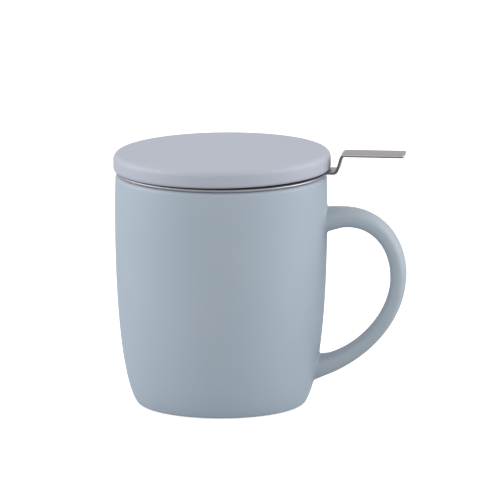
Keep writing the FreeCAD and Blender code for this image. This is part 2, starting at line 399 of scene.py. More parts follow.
@dataclass(frozen=True)
class UnevenGlaze:
    """A fired glaze seen close by: faint clouds, pinholes, a thin edge and a skin that is a little wavy.

    Scales are in cells per metre, and a pinhole is measured in cells.
    """

    name: str = "uneven_glaze"
    cloud_scale: float = 26.0
    patch_scale: float = 70.0
    patch_depth: float = 0.05
    contrast: tuple[float, float] = (0.3, 0.7)
    cell_scale: float = 520.0
    cells_without_hole: float = 0.93
    hole_middle: float = 0.05
    hole_edge: float = 0.16
    hole_colour: Colour = (0.16, 0.17, 0.19, 1.0)
    hole_shade: float = 0.6
    hole_strength: float = 0.22
    wave_scale: float = 230.0
    fine_scale: float = 1900.0
    fine_depth: float = 0.25

    def make(self) -> NodeTree:
        """Builds the node group.

        Returns:
            The group. Its input Thin is the share of the thin glaze's colour.
        """
        colours = {"Colour": WHITE, "Cloud": WHITE, "Thin Colour": WHITE}
        shader, given = new_group(self.name, {"Vector": None, "Thin": 0.0, "Roughness": 0.5} | colours)
        vector = given["Vector"]
        clouds = shader.ramp(shader.noise(vector, self.cloud_scale, detail=3.0), *self.contrast, 0.0, 1.0)
        colour = shader.mix(clouds, given["Colour"], given["Cloud"])
        cells = shader.add("TexVoronoi", {"Vector": vector, "Scale": self.cell_scale}).outputs
        chance = shader.add("SeparateColor", {0: cells["Color"]}).outputs[0]
        rare = shader.math("GREATER_THAN", chance, self.cells_without_hole)
        inside = shader.ramp(cells["Distance"], self.hole_middle, self.hole_edge, 1.0, 0.0)
        hole = shader.math("MULTIPLY", rare, inside)
        darker = shader.mix(self.hole_shade, colour, self.hole_colour)
        colour = shader.mix(shader.math("MULTIPLY", hole, self.hole_strength), colour, darker)
        colour = shader.mix(given["Thin"], colour, given["Thin Colour"])
        patches = shader.noise(vector, self.patch_scale, detail=3.0)
        patches = shader.ramp(patches, *self.contrast, -self.patch_depth, self.patch_depth)
        roughness = shader.math("ADD", given["Roughness"], patches, clamp=True)
        fine = shader.math("MULTIPLY", shader.noise(vector, self.fine_scale), self.fine_depth)
        skin = shader.math("ADD", shader.noise(vector, self.wave_scale), fine)
        height = shader.math("SUBTRACT", skin, hole)
        shader.add("NodeGroupOutput", {"Colour": colour, "Roughness": roughness, "Height": height})
        return shader.tree


@dataclass(frozen=True)
class BrushedGrain:
    """Brushed sheet seen close by: fine lines of uneven depth, and faint smudges from handling."""

    name: str = "brushed_grain"
    line_detail: float = 4.0
    line_roughness: float = 0.65
    line_contrast: tuple[float, float] = (0.3, 0.7)
    smudge_scale: float = 85.0
    smudge_contrast: tuple[float, float] = (0.42, 0.72)
    dull_colour: Colour = (0.2, 0.19, 0.18, 1.0)
    dull_shade: float = 0.45
    dull_strength: float = 0.55
    rough_lines: float = 0.12
    rough_smudges: float = 0.07

    def make(self) -> NodeTree:
        """Builds the node group.

        Returns:
            The group. Its inputs Vector and Turn place the lines, and Place the smudges.
        """
        inputs = {"Vector": None, "Turn": 0.0, "Place": None, "Colour": WHITE, "Roughness": 0.3}
        shader, given = new_group(self.name, inputs)
        lines = shader.noise(
            given["Vector"], 1.0, detail=self.line_detail, W=given["Turn"], Roughness=self.line_roughness
        )
        depth = shader.ramp(lines, *self.line_contrast, 0.0, 1.0)
        smudges = shader.noise(given["Place"], self.smudge_scale)
        smudges = shader.ramp(smudges, *self.smudge_contrast, 0.0, 1.0)
        dull = shader.mix(self.dull_shade, given["Colour"], self.dull_colour)
        colour = shader.mix(shader.math("MULTIPLY", depth, self.dull_strength), given["Colour"], dull)
        from_lines = shader.math("MULTIPLY", depth, self.rough_lines)
        from_smudges = shader.math("MULTIPLY", smudges, self.rough_smudges)
        rise = shader.math("ADD", from_lines, from_smudges)
        roughness = shader.math("ADD", given["Roughness"], rise, clamp=True)
        shader.add("NodeGroupOutput", {"Colour": colour, "Roughness": roughness, "Height": lines})
        return shader.tree


@dataclass(frozen=True)
class GlazeFinish:
    """A satin matt glaze over pale stoneware, bare where the piece stood in the kiln.

    The glaze is thin from thin_height up, and the clay is bare below bare_height, both in the piece's own
    frame, whose origin is seat and whose turn about Y is tilt. Scales are in cells per metre.
    """

    name: str
    colour: Colour = (0.405, 0.481, 0.559, 1.0)
    cloud: Colour = (0.39, 0.467, 0.545, 1.0)
    thin_colour: Colour = (0.44, 0.49, 0.56, 1.0)
    clay: Colour = (0.66, 0.60, 0.51, 1.0)
    clay_shade: float = 0.82
    clay_roughness: float = 0.9
    roughness: float = 0.52
    ior: float = 1.5
    thin_height: float = 94.3 * MM
    thin_depth: float = 0.9 * MM
    bare_height: float = 0.35 * MM
    glaze_line: float = 0.12 * MM
    line_scale: float = 300.0
    line_contrast: tuple[float, float] = (0.2, 0.8)
    grit_scale: float = 1500.0
    bump: float = 0.14
    bump_depth: float = 0.05 * MM
    tilt: float = 0.0
    seat: Vector = field(default_factory=Vector)

    def make(self, groups: Groups) -> Material:
        """Builds the material.

        Args:
            groups: The shared node groups, by name.

        Returns:
            The material.
        """
        material, shader = new_material(self.name)
        place = shader.place()
        own_frame = {"Vector": place, "Location": self.seat, "Rotation": (0.0, self.tilt, 0.0)}
        upright = shader.add("Mapping", own_frame, vector_type="TEXTURE").outputs[0]
        height = shader.add("SeparateXYZ", {0: upright}).outputs["Z"]
        thin = shader.ramp(height, self.thin_height, self.thin_height + self.thin_depth, 0.0, 1.0)
        colours = {"Colour": self.colour, "Cloud": self.cloud, "Thin Colour": self.thin_colour}
        inputs = {"Vector": place, "Thin": thin, "Roughness": self.roughness} | colours
        glaze = shader.add("Group", inputs, node_tree=groups["uneven_glaze"]).outputs
        wander = shader.noise(place, self.line_scale)
        wander = shader.ramp(wander, *self.line_contrast, -self.glaze_line, self.glaze_line)
        edge = shader.math("ADD", height, wander)
        low, high = self.bare_height - self.glaze_line, self.bare_height + self.glaze_line
        bare = shader.ramp(edge, low, high, 1.0, 0.0)
        grit = shader.noise(place, self.grit_scale, detail=3.0)
        shaded = tuple(self.clay_shade * part for part in self.clay[:3]) + (1.0,)
        colour = shader.mix(bare, glaze["Colour"], shader.mix(grit, self.clay, shaded))
        inputs = {"Value": bare, "To Min": glaze["Roughness"], "To Max": self.clay_roughness}
        roughness = shader.add("MapRange", inputs).outputs["Result"]
        relief = shader.math("ADD", glaze["Height"], shader.math("MULTIPLY", bare, grit))
        bump = shader.add("Bump", {"Strength": self.bump, "Distance": self.bump_depth, "Height": relief})
        inputs = {"Base Color": colour, "Roughness": roughness, "Normal": bump.outputs[0], "IOR": self.ior}
        surface = shader.add("BsdfPrincipled", inputs)
        shader.add("OutputMaterial", {0: surface.outputs[0]})
        return material


@dataclass(frozen=True)
class SteelFinish:
    """Stainless sheet with a satin brushing.

    Its cut edges, where it has any in sight, lie at edge_place on either side of Y = 0. Below edge_top
    they are painted dark as painted shade, and above it they are as bright as the sheet.
    """

    name: str
    grain: Grain
    colour: Colour = (0.62, 0.59, 0.655, 1.0)
    edge_shade_colour: Colour = (0.165, 0.158, 0.168, 1.0)
    edge_place: float | None = None
    edge_top: float = 0.0
    edge_soft: float = 0.15 * MM
    roughness: float = 0.27
    lines_per_metre: float = 1600.0
    line_length: float = 55 * MM
    bump: float = 0.12
    bump_depth: float = 0.02 * MM

    def make(self, groups: Groups) -> Material:
        """Builds the material.

        Args:
            groups: The shared node groups, by name.

        Returns:
            The material.
        """
        material, shader = new_material(self.name)
        place = shader.place()
        vector, turn = self.grain_place(shader, place)
        inputs = {"Vector": vector, "Turn": turn, "Place": place}
        inputs |= {"Colour": self.colour, "Roughness": self.roughness}
        brushed = shader.add("Group", inputs, node_tree=groups["brushed_grain"]).outputs
        relief = {"Strength": self.bump, "Distance": self.bump_depth, "Height": brushed["Height"]}
        bump = shader.add("Bump", relief)
        colour = brushed["Colour"]
        # Painted shade: the edges are painted dark below edge_top.
        if self.edge_place is not None:
            _, side, height = shader.add("SeparateXYZ", {0: place}).outputs
            side = shader.math("ABSOLUTE", side)
            low = shader.math("LESS_THAN", height, self.edge_top)
            shaded_edge = shader.ramp(side, self.edge_place - self.edge_soft, self.edge_place, 0.0, low)
            colour = shader.mix(shaded_edge, colour, self.edge_shade_colour)
        inputs = {"Base Color": colour, "Metallic": 1.0, "Roughness": brushed["Roughness"]}
        surface = shader.add("BsdfPrincipled", inputs | {"Normal": bump.outputs[0]})
        shader.add("OutputMaterial", {0: surface.outputs[0]})
        return material

    def grain_place(self, shader: Shader, place: NodeSocket) -> tuple[NodeSocket, NodeSocket | float]:
        """Coordinates that change slowly along the brushing and fast across it.

        Args:
            shader: The material's tree.
            place: The Object coordinates.

        Returns:
            A vector and a fourth coordinate, for a noise in four dimensions.
        """
        slow = 1 / self.line_length
        x, y, z = shader.add("SeparateXYZ", {0: place}).outputs
        if self.grain is Grain.ALONG_X:
            sideways = y
            turn = 0.0
        else:
            square = shader.math("ADD", shader.math("MULTIPLY", x, x), shader.math("MULTIPLY", y, y))
            sideways = shader.math("SQRT", square)
            turn = shader.math("MULTIPLY", y, slow)
        parts = {
            0: shader.math("MULTIPLY", x, slow),
            1: shader.math("MULTIPLY", sideways, self.lines_per_metre),
            2: shader.math("MULTIPLY", z, self.lines_per_metre),
        }
        return shader.add("CombineXYZ", parts).outputs[0], turn


@dataclass
class Mug:
    """The bowl and the loop handle that is luted on to it.

    A pull is how far the pole next to a curve's end lies from it, and root_skip is how many of the handle's
    sections next to a root make way for its rounding.
    """

    height: float = 95.2 * MM
    belly_radius: float = 43.5 * MM
    belly_height: float = 80.0 * MM
    rim_radius: float = 43.3 * MM
    foot_radius: float = 35.0 * MM
    foot_edge_round: float = 1.94 * MM
    flank_foot_angle: float = 60.0
    flank_foot_pull: float = 16.9 * MM
    flank_belly_pull: float = 11.4 * MM
    wall: float = 4.0 * MM
    lip_round: float = 1.8 * MM
    floor_height: float = 6.0 * MM
    floor_corner_height: float = 14.5 * MM
    foot_ring_width: float = 4.2 * MM
    foot_recess: float = 1.5 * MM
    reach: float = 72.9 * MM
    reach_height: float = 54.0 * MM
    upper_root: float = 76.8 * MM
    upper_root_angle: float = 17.4
    upper_root_pull: float = 17.8 * MM
    upper_reach_pull: float = 16.4 * MM
    lower_root: float = 15.2 * MM
    lower_root_angle: float = 14.2
    lower_root_pull: float = 19.0 * MM
    lower_reach_pull: float = 17.3 * MM
    thickness: float = 6.4 * MM
    width: float = 12.5 * MM
    fullness: float = 0.72
    root_thickness: float = 9.2 * MM
    root_width: float = 14.5 * MM
    upper_taper: float = 16.0 * MM
    lower_taper: float = 9.0 * MM
    root_round: float = 1.8 * MM
    root_depth: float = 1.0 * MM
    facets: int = 256
    flank_steps: int = 48
    inner_flank_steps: int = 40
    handle_facets: int = 48
    arm_steps: int = 34
    round_steps: int = 6
    root_skip: int = 4

    def flank(self) -> Bezier:
        """The outer flank, from the edge of the foot up to the belly.

        Returns:
            The flank.
        """
        angle = math.radians(self.flank_foot_angle)
        start = at(self.foot_radius, self.foot_edge_round * (1 - math.cos(angle)))
        return Bezier((
            start,
            polar(start, self.flank_foot_pull, self.flank_foot_angle),
            at(self.belly_radius, self.belly_height - self.flank_belly_pull),
            at(self.belly_radius, self.belly_height),
        ))

    def upper_arc(self, belly: float, lip: float) -> list[Vector]:
        """The gentle arc from the belly in to the lip.

        Args:
            belly: The radius at the belly.
            lip: The radius at the lip.

        Returns:
            The arc's points, from the belly up.
        """
        rise = self.height - self.lip_round - self.belly_height
        radius = (rise**2 + (belly - lip) ** 2) / (2 * (belly - lip))
        return arc(at(belly - radius, self.belly_height), radius, 0, math.degrees(math.asin(rise / radius)))

    def outline(self) -> list[Vector]:
        """The bowl's half section.

        Returns:
            Its points, from the middle of the recess round to the middle of the floor.
        """
        edge = self.foot_radius - self.foot_edge_round * math.sin(math.radians(self.flank_foot_angle))
        recess = edge - self.foot_ring_width - self.foot_recess
        lip_centre = at(self.rim_radius - self.lip_round, self.height - self.lip_round)
        inner_lip = at(self.rim_radius - self.wall + self.lip_round, self.height - self.lip_round)
        under = [at(0, self.foot_recess)] + arc(at(recess, 0), self.foot_recess, 90, 0)
        foot = arc(at(edge, self.foot_edge_round), self.foot_edge_round, -90, self.flank_foot_angle - 90)
        flank = self.flank().points(self.flank_steps)
        outside = flank[1:] + self.upper_arc(self.belly_radius, self.rim_radius)[1:]
        lip = arc(lip_centre, self.lip_round, 0, 90)[1:] + arc(inner_lip, self.lip_round, 90, 180)
        down = self.upper_arc(self.belly_radius - self.wall, self.rim_radius - self.wall)[-2::-1]
        return under + foot + outside + lip + down + self.inside()

    def inside(self) -> list[Vector]:
        """The inner flank, a wall's thickness in, and the rounded corner of the floor.

        Returns:
            The points, from the belly down to the middle of the floor.
        """
        poles = self.flank().end_part(self.flank().at_height(self.floor_corner_height)).poles
        along = (poles[1] - poles[0]).normalized()
        slope = math.degrees(math.atan2(along.z, along.x))
        inward = [at(-along.z, along.x) * self.wall] * 2 + [at(-self.wall, 0)] * 2
        flank = Bezier(tuple(pole + shift for pole, shift in zip(poles, inward)))
        foot = flank.point(0)
        corner_radius = (foot.z - self.floor_height) / (1 - math.cos(math.radians(slope)))
        centre = foot + at(-math.sin(math.radians(slope)), math.cos(math.radians(slope))) * corner_radius
        corner = arc(centre, corner_radius, slope - 90, -90, steps=14)
        return flank.points(self.inner_flank_steps)[-2::-1] + corner[1:] + [at(0, self.floor_height)]

    def bowl(self) -> BMesh:
        """The bowl, turned from its half section."""
        return lathe(self.outline(), self.facets, closed=False)

    def section(self, centre: Vector, along: Vector, distance: float, taper: float) -> Matrix:
        """A section of the handle, as the place of a unit circle.

        Args:
            centre: The section's centre.
            along: The direction of the handle there.
            distance: How far it is from its root.
            taper: The distance over which the thickening of the root dies away.

        Returns:
            A matrix that takes the unit circle to the section.
        """
        flare = math.exp(-distance / taper)
        thickness = self.thickness + (self.root_thickness - self.thickness) * flare
        width = self.width + (self.root_width - self.width) * flare
        across = Y_AXIS.cross(along)
        columns = (Y_AXIS * (width / 2), across * (thickness / 2), along)
        return Matrix.Translation(centre) @ Matrix(columns).transposed().to_4x4()

    def arm(self, spine: Bezier, taper: float, forwards: int) -> list[Matrix]:
        """The sections of one half of the handle, from its root to the furthest point.

        Args:
            spine: The middle line of that half.
            taper: The distance over which the thickening of the root dies away.
            forwards: 1 if the handle is walked from this root, -1 if towards it.

        Returns:
            A section at each step.
        """
        sections = []
        distance = 0.0
        points = spine.points(self.arm_steps)
        for step, point in enumerate(points):
            distance += (point - points[max(step - 1, 0)]).length
            along = spine.along(step / self.arm_steps) * forwards
            sections.append(self.section(point, along, distance, taper))
        return sections

    def handle(self, bowl: BVHTree) -> BMesh:
        """The handle, swept from root to root and rounded into the bowl at both.

        Args:
            bowl: The bowl's surface.

        Returns:
            A closed mesh whose two ends lie inside the bowl's wall.
        """
        reach = at(self.reach, self.reach_height)
        upper_root = at(self.belly_radius, self.upper_root)
        lower_root = self.flank().point(self.flank().at_height(self.lower_root))
        upper = Bezier((
            upper_root,
            polar(upper_root, self.upper_root_pull, self.upper_root_angle),
            reach + at(0, self.upper_reach_pull),
            reach,
        ))
        lower = Bezier((
            lower_root,
            polar(lower_root, self.lower_root_pull, self.lower_root_angle),
            reach - at(0, self.lower_reach_pull),
            reach,
        ))
        sections = self.arm(upper, self.upper_taper, 1) + self.arm(lower, self.lower_taper, -1)[-2::-1]
        swept = sections[self.root_skip : -self.root_skip]
        bm = bmesh.new()
        first = self.ring(bm, swept[0])
        last = first
        for earlier, later in zip(swept, swept[1:]):
            last = self.extruded(bm, last)
            bmesh.ops.transform(bm, matrix=later @ earlier.inverted(), verts=last)
        self.land(bm, first, swept[0], sections[0], upper.along(0), bowl)
        self.land(bm, last, swept[-1], sections[-1], lower.along(0), bowl)
        tidy(bm)
        return bm

    def ring(self, bm: BMesh, section: Matrix) -> list[BMVert]:
        """A closed ring of edges round one section of the handle, fuller than an oval.

        Args:
            bm: The handle's mesh.
            section: The section, as the place of a unit circle.

        Returns:
            The ring's points, in order.
        """
        quarter = Bezier((at(1, 0), at(1, self.fullness), at(self.fullness, 1), at(0, 1)))
        made = bmesh.ops.create_circle(bm, cap_ends=False, segments=self.handle_facets, radius=1.0)["verts"]
        for vert in made:
            quarters = math.atan2(vert.co.y, vert.co.x) / QUARTER_TURN
            point = quarter.point(quarters % 1.0)
            turn = Matrix.Rotation(math.floor(quarters) * QUARTER_TURN, 3, "Z")
            vert.co = turn @ Vector((point.x, point.z, 0))
        bmesh.ops.transform(bm, matrix=section, verts=made)
        return list(made)

    def extruded(self, bm: BMesh, loop: list[BMVert]) -> list[BMVert]:
        """A copy of a ring, joined to it by faces.

        Args:
            bm: The handle's mesh.
            loop: The ring's points.

        Returns:
            The copy's points, in the ring's order.
        """
        edges = unique(edge for vert in loop for edge in vert.link_edges)
        edges = [edge for edge in edges if all(vert in loop for vert in edge.verts)]
        order = {place_key(vert): place for place, vert in enumerate(loop)}
        copies = only(BMVert, bmesh.ops.extrude_edge_only(bm, edges=edges)["geom"])
        return sorted(copies, key=lambda vert: order[place_key(vert)])

    def land(
        self, bm: BMesh, loop: list[BMVert], section: Matrix, root: Matrix, outward: Vector, bowl: BVHTree
    ) -> None:
        """Rounds one end of the handle into the bowl and closes it inside the wall.

        Args:
            bm: The handle's mesh.
            loop: The ring at the end of the handle.
            section: The section that the ring lies on.
            root: The section at the bowl.
            outward: The direction of the handle at its root.
            bowl: The bowl's surface.
        """
        bends = []
        for vert in loop:
            on_root = root @ section.inverted() @ vert.co
            sideways = (on_root - root.translation).normalized()
            corner = self.touch(bowl, on_root, outward)
            landing = self.touch(bowl, on_root + sideways * self.root_round, outward)
            bends.append((corner + outward * self.root_round, corner, landing))
        for step in range(self.round_steps + 1):
            share = step / self.round_steps
            loop = self.extruded(bm, loop)
            for vert, (start, corner, landing) in zip(loop, bends):
                vert.co = start.lerp(corner, share).lerp(corner.lerp(landing, share), share)
        loop = self.extruded(bm, loop)
        bmesh.ops.translate(bm, vec=outward * -self.root_depth, verts=loop)
        open_edges = unique(edge for vert in loop for edge in vert.link_edges if len(edge.link_faces) == 1)
        bmesh.ops.contextual_create(bm, geom=open_edges)

    def touch(self, bowl: BVHTree, point: Vector, outward: Vector) -> Vector:
        """Where a line through a point, along a handle's root, meets the bowl."""
        hit = bowl.ray_cast(point + outward * self.width, -outward)[0]
        return hit if hit else point

    def dress(self, groups: Groups) -> list[Object]:
        """Adds the bowl and the handle, whose glaze is painted a little darker and greyer: painted shade.

        Args:
            groups: The shared node groups, by name.

        Returns:
            The pieces.
        """
        glaze = GlazeFinish("powder_blue_glaze")
        # Painted shade: the handle's glaze is a darker, greyer copy of the bowl's, for the shade on the
        # handle's arms.
        handle_shaded_glaze = GlazeFinish(
            "powder_blue_handle_painted_shade", colour=(0.406, 0.473, 0.533, 1.0), cloud=(0.392, 0.459, 0.52, 1.0)
        )
        bowl = self.bowl()
        handle = self.handle(BVHTree.FromBMesh(bowl))
        return [
            add_piece(bowl, "bowl", "mug", "mug_body", glaze.make(groups)),
            add_piece(handle, "loop_handle", "mug", "mug_handle", handle_shaded_glaze.make(groups)),
        ]


@dataclass
class Infuser:
    """The loose infuser: a pressed rim, a slitted basket and the strip that it is lifted by."""

    flange_top: float
    sheet: float = 0.6 * MM
    basket_sheet: float = 0.5 * MM
    flange_radius: float = 43.0 * MM
    hem_width: float = 2.6 * MM
    neck_outer: float = 38.1 * MM
    neck_bend: float = 1.2 * MM
    neck_depth: float = 14.0 * MM
    depth: float = 68.9 * MM
    foot_radius: float = 31.48 * MM
    overlap: float = 5.0 * MM
    seam_width: float = 3.0 * MM
    pan_height: float = 5.0 * MM
    pan_corner: float = 0.8 * MM
    slit_width: float = 0.9 * MM
    slit_length: float = 6.6 * MM
    slit_gap: float = 2.2 * MM
    slit_pitch: float = 4.4 * MM
    slit_margin: float = 2.4 * MM
    pan_slit_length: float = 6.0 * MM
    pan_slit_gap: float = 2.6 * MM
    pan_slit_pitch: float = 5.4 * MM
    pan_first_ring: float = 4.0 * MM
    strap_thickness: float = 1.0 * MM
    strap_width: float = 12.0 * MM
    step_start: float = 47.8 * MM
    grip_start: float = 49.9 * MM
    grip_height: float = 7.4 * MM
    strap_reach: float = 75.4 * MM
    strap_bend: float = 1.2 * MM
    strap_corner: float = 0.9 * MM
    strap_edge: float = 0.12 * MM
    edge_degrees: float = 60.0
    weld_gap: float = 0.02 * MM
    tab_gap: float = 1.0 * MM
    facets: int = 256
    pan_facets: int = 96
    tab_strips: int = 8
    corner_steps: int = 6
    edge_steps: int = 2

    @property
    def neck_inner(self) -> float:
        """The inner radius of the neck."""
        return self.neck_outer - self.sheet

    @property
    def neck_foot(self) -> float:
        """The height of the neck's lower edge."""
        return self.flange_top - self.neck_depth

    @property
    def bend(self) -> Vector:
        """The centre of the bend between the neck and the flange."""
        return at(self.neck_outer + self.neck_bend, self.flange_top - self.sheet - self.neck_bend)

    @property
    def wall_top(self) -> Vector:
        """The upper edge of the basket's wall, on its outer face."""
        return at(self.neck_inner - self.weld_gap, self.neck_foot + self.overlap)

    @property
    def basket_foot(self) -> float:
        """The height of the basket's lowest face."""
        return self.flange_top - self.depth

    @property
    def pan_top(self) -> float:
        """The height of the pan's upper edge."""
        return self.basket_foot + self.pan_height

    def rim(self) -> BMesh:
        """The neck, its bend and the flange with a hem rolled under its edge.

        Returns:
            A closed mesh.
        """
        hem = self.sheet
        hem_centre = at(self.flange_radius - hem, self.flange_top - hem)
        hem_inner = self.flange_radius - self.hem_width
        outline = [at(self.neck_inner, self.neck_foot)]
        outline += arc(self.bend, self.neck_bend + self.sheet, 180, 90, steps=10)
        outline += arc(hem_centre, hem, 90, -90, steps=12)
        outline += [at(hem_inner, self.flange_top - 2 * hem), at(hem_inner, self.flange_top - hem)]
        outline += arc(self.bend, self.neck_bend, 90, 180, steps=10)
        outline += [at(self.neck_outer, self.neck_foot)]
        return lathe(outline, self.facets, closed=True)

    def wall_radius(self, height: float) -> float:
        """The outer radius of the basket's wall at a height."""
        share = (height - self.pan_top) / (self.neck_foot - self.pan_top)
        return self.foot_radius + (self.wall_top.x - self.foot_radius) * min(max(share, 0.0), 1.0)

    def wall_levels(self) -> tuple[list[float], list[int]]:
        """The heights at which the wall's sheet is divided.

        Returns:
            The heights, and the place among them of the foot of each row of slits.
        """
        low = self.pan_top + self.slit_margin
        room = self.neck_foot - self.slit_margin - low + self.slit_gap
        rows = int(room / (self.slit_length + self.slit_gap))
        levels = [self.basket_foot + self.basket_sheet + self.pan_corner, self.pan_top]
        slits = []
        for row in range(rows):
            foot = low + row * (self.slit_length + self.slit_gap)
            slits.append(len(levels))
            levels += [foot, foot + self.slit_length]
        return levels + [self.neck_foot, self.wall_top.z], slits

    def wall(self) -> BMesh:
        """The tapered wall, rolled from a slitted sheet, with its lap seam at -X.

        Returns:
            A closed mesh.
        """
        levels, slit_rows = self.wall_levels()
        count = int(FULL_TURN * self.foot_radius / self.slit_pitch)
        half = self.slit_width / 2 / self.foot_radius
        pitch = FULL_TURN / count
        turns = []
        for step in range(2 * count):
            middle = step * pitch / 2
            turns += [middle - half, middle + half]
        turns.append(turns[0] + FULL_TURN)
        columns = len(turns) - 1
        rows = len(levels) - 1
        bm = bmesh.new()
        bmesh.ops.create_grid(bm, x_segments=columns, y_segments=rows, size=0.5)
        # The grid is one unit square about the origin, so a point's place tells its column and its row.
        for vert in bm.verts:
            turn = turns[round((vert.co.x + 0.5) * columns)]
            height = levels[round((vert.co.y + 0.5) * rows)]
            radius = self.wall_radius(height)
            vert.co = (radius * math.cos(turn), radius * math.sin(turn), height)
        tidy(bm)
        cut = [face for face in bm.faces if self.is_slit(face, levels, slit_rows, pitch)]
        bmesh.ops.delete(bm, geom=cut, context="FACES")
        thicken(bm, self.basket_sheet)
        return bm

    def is_slit(self, face: BMFace, levels: list[float], slit_rows: list[int], pitch: float) -> bool:
        """Whether a face of the wall's sheet is cut out.

        Args:
            face: The face.
            levels: The heights at which the sheet is divided.
            slit_rows: The first level of each row of slits.
            pitch: The angle from one slit to the next.

        Returns:
            True inside a slit. Every other row is half a pitch round, and the lap seam has none.
        """
        centre = face.calc_center_median()
        turn = math.atan2(centre.y, centre.x) % FULL_TURN
        for row, first in enumerate(slit_rows):
            if levels[first] < centre.z < levels[first + 1]:
                from_slit = (turn / pitch - 0.5 * (row % 2)) % 1.0
                near_slit = min(from_slit, 1 - from_slit) * pitch * self.foot_radius < self.slit_width / 2
                from_seam = abs(turn - math.pi) * self.foot_radius
                return near_slit and from_seam > self.seam_width / 2 + self.slit_width
        return False

    def pan(self) -> BMesh:
        """The pan that closes the basket, with rings of slits like spokes.

        Returns:
            A closed mesh.
        """
        inner = self.foot_radius + self.weld_gap
        flat = inner - self.pan_corner
        level = Matrix.Translation(at(0, self.basket_foot))
        bm = bmesh.new()
        rim = bmesh.ops.create_circle(
            bm, cap_ends=False, segments=self.pan_facets, radius=flat, matrix=level
        )["verts"]
        near = self.pan_first_ring
        while near + self.pan_slit_length < flat:
            count = int(FULL_TURN * (near + self.pan_slit_length / 2) / self.pan_slit_pitch)
            for step in range(count):
                self.pan_slit(bm, near, FULL_TURN * step / count)
            near += self.pan_slit_length + self.pan_slit_gap
        bmesh.ops.triangle_fill(bm, edges=list(bm.edges), use_beauty=True, use_dissolve=False)
        loop = [edge for edge in bm.edges if all(vert in rim for vert in edge.verts)]
        corner_round = self.pan_corner + self.basket_sheet
        side = arc(at(flat, self.basket_foot + corner_round), corner_round, -90, 0, steps=5)
        side.append(at(inner + self.basket_sheet, self.pan_top))
        for earlier, later in zip(side, side[1:]):
            made = bmesh.ops.extrude_edge_only(bm, edges=loop)["geom"]
            loop = [edge for edge in only(BMEdge, made) if len(edge.link_faces) == 1]
            verts = only(BMVert, made)
            grow = later.x / earlier.x
            bmesh.ops.scale(bm, vec=(grow, grow, 1), verts=verts)
            bmesh.ops.translate(bm, vec=at(0, later.z - earlier.z), verts=verts)
        face_down(bm)
        thicken(bm, self.basket_sheet)
        return bm

    def pan_slit(self, bm: BMesh, near: float, turn: float) -> None:
        """Adds the outline of one slit in the pan.

        Args:
            bm: The pan's mesh.
            near: The distance of the slit's inner end from the middle.
            turn: Its angle round Z.
        """
        length = self.pan_slit_length
        place = Matrix.Rotation(turn, 4, "Z") @ Matrix.Translation((near + length / 2, 0, self.basket_foot))
        place = place @ Matrix.Diagonal((length, self.slit_width, 1, 1))
        made = bmesh.ops.create_grid(bm, x_segments=1, y_segments=1, size=0.5, matrix=place)["verts"]
        faces = unique(face for vert in made for face in vert.link_faces)
        bmesh.ops.delete(bm, geom=faces, context="FACES_ONLY")

    def strap_line(self) -> list[Vector]:
        """The under side of the strip, seen from its edge.

        Returns:
            Its points, from the end inside the neck to the tip of the grip.
        """
        under = self.neck_bend + self.sheet + self.weld_gap
        foot = self.flange_top + self.weld_gap
        slope = math.degrees(math.atan2(self.grip_height, self.grip_start - self.step_start))
        middle = self.strap_bend + self.strap_thickness / 2
        trim = middle * math.tan(math.radians(slope / 2))
        step_radius = self.strap_bend + self.strap_thickness
        step = at(self.step_start - trim, foot + step_radius)
        crest = at(self.grip_start + trim, foot + self.grip_height - self.strap_bend)
        line = [at(self.bend.x - under, self.wall_top.z + self.tab_gap)]
        line += arc(self.bend, under, 180, 90, steps=10)
        line += arc(step, step_radius, -90, slope - 90)
        line += arc(crest, self.strap_bend, slope + 90, 90)
        return line + [at(self.strap_reach, foot + self.grip_height)]

    def strap(self) -> BMesh:
        """The bent strip: its tab lies against the round neck, and its free end is the grip.

        Returns:
            A closed mesh.
        """
        line = self.strap_line()
        bm = bmesh.new()
        half = Y_AXIS * (self.strap_width / 2)
        edge = bm.edges.new([bm.verts.new(line[0] - half), bm.verts.new(line[0] + half)])
        for earlier, later in zip(line, line[1:]):
            verts = only(BMVert, bmesh.ops.extrude_edge_only(bm, edges=[edge])["geom"])
            bmesh.ops.translate(bm, vec=later - earlier, verts=verts)
            edge = bm.edges.get(verts)
        face_down(bm)
        bmesh.ops.bevel(
            bm,
            geom=list(edge.verts),
            offset=self.strap_corner,
            segments=self.corner_steps,
            profile=0.5,
            affect="VERTICES",
            material=-1,
        )
        self.curl_tab(bm)
        thicken(bm, self.strap_thickness)
        least = math.radians(self.edge_degrees)
        edges = [edge for edge in bm.edges if len(edge.link_faces) == 2 and edge.calc_face_angle(0) > least]
        bmesh.ops.bevel(
            bm,
            geom=edges,
            offset=self.strap_edge,
            segments=self.edge_steps,
            profile=0.5,
            affect="EDGES",
            material=-1,
        )
        return bm

    def curl_tab(self, bm: BMesh) -> None:
        """Curls the part of the strip that lies in the neck to the neck's round.

        Args:
            bm: The strip, still a sheet.
        """
        for strip in range(1, self.tab_strips):
            faces = [face for face in bm.faces if face.calc_center_median().x < self.bend.x]
            edges = unique(edge for face in faces for edge in face.edges)
            verts = unique(vert for face in faces for vert in face.verts)
            cut = Y_AXIS * (self.strap_width * (strip / self.tab_strips - 0.5))
            bmesh.ops.bisect_plane(bm, geom=faces + edges + verts, dist=SMALL, plane_co=cut, plane_no=Y_AXIS)
        for vert in bm.verts:
            if vert.co.x < self.bend.x + SMALL:
                vert.co.x = math.sqrt(vert.co.x**2 - vert.co.y**2)

